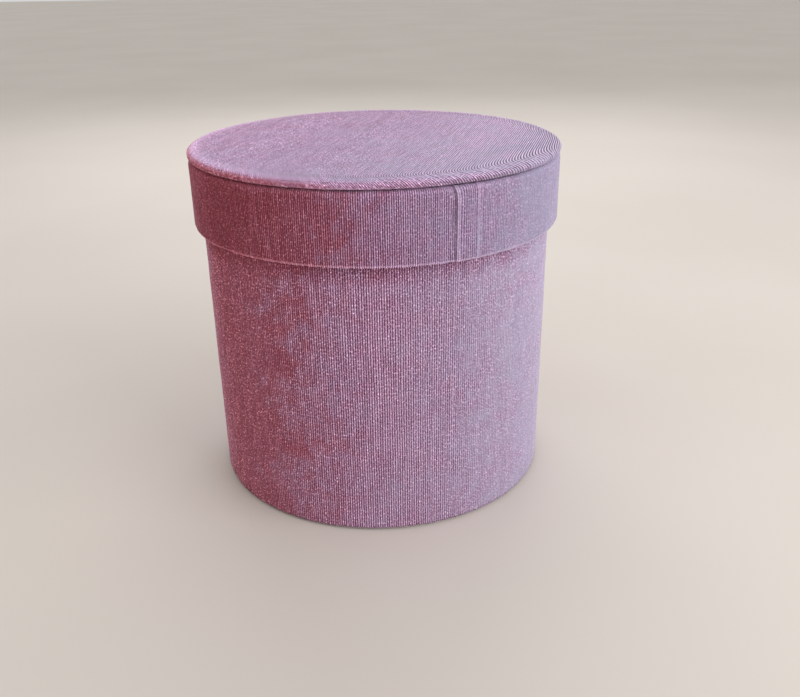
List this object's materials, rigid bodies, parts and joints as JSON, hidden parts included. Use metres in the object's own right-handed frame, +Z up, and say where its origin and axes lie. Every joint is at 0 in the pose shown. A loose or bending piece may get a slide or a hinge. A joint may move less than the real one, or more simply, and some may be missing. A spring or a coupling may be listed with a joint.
{
  "type": "round velvet box with lid",
  "caption": "Round rigid box of chipboard covered in ribbed velvet, with a lid that lifts off, for keepsakes, gifts or flowers.",
  "frame": {"origin": "middle of the underside, on the surface that the box stands on", "axes": "+Z up along the box's own axis, -Y to the front, +X to the right seen from the front"},
  "size_m": [0.16, 0.16, 0.151],
  "materials": {
    "velvet": "matte",
    "chipboard": "matte",
    "lining_paper": "matte",
    "underside_paper": "matte"
  },
  "bodies": {
    "box": {"body_tube": "chipboard", "base_disc": "chipboard", "body_cover": "velvet", "body_lining": "lining_paper", "base_lining": "lining_paper", "underside_paper": "underside_paper"},
    "lid": {"lid_ring": "chipboard", "lid_disc": "chipboard", "lid_top_cover": "velvet", "lid_band_cover": "velvet", "lid_ring_lining": "lining_paper", "lid_disc_lining": "lining_paper"}
  },
  "joints": [
    {"name": "lid_lift", "type": "slide", "parent": "box", "child": "lid", "axis": [0, 0, 1], "range_m": [0, 0.08]}
  ]
}
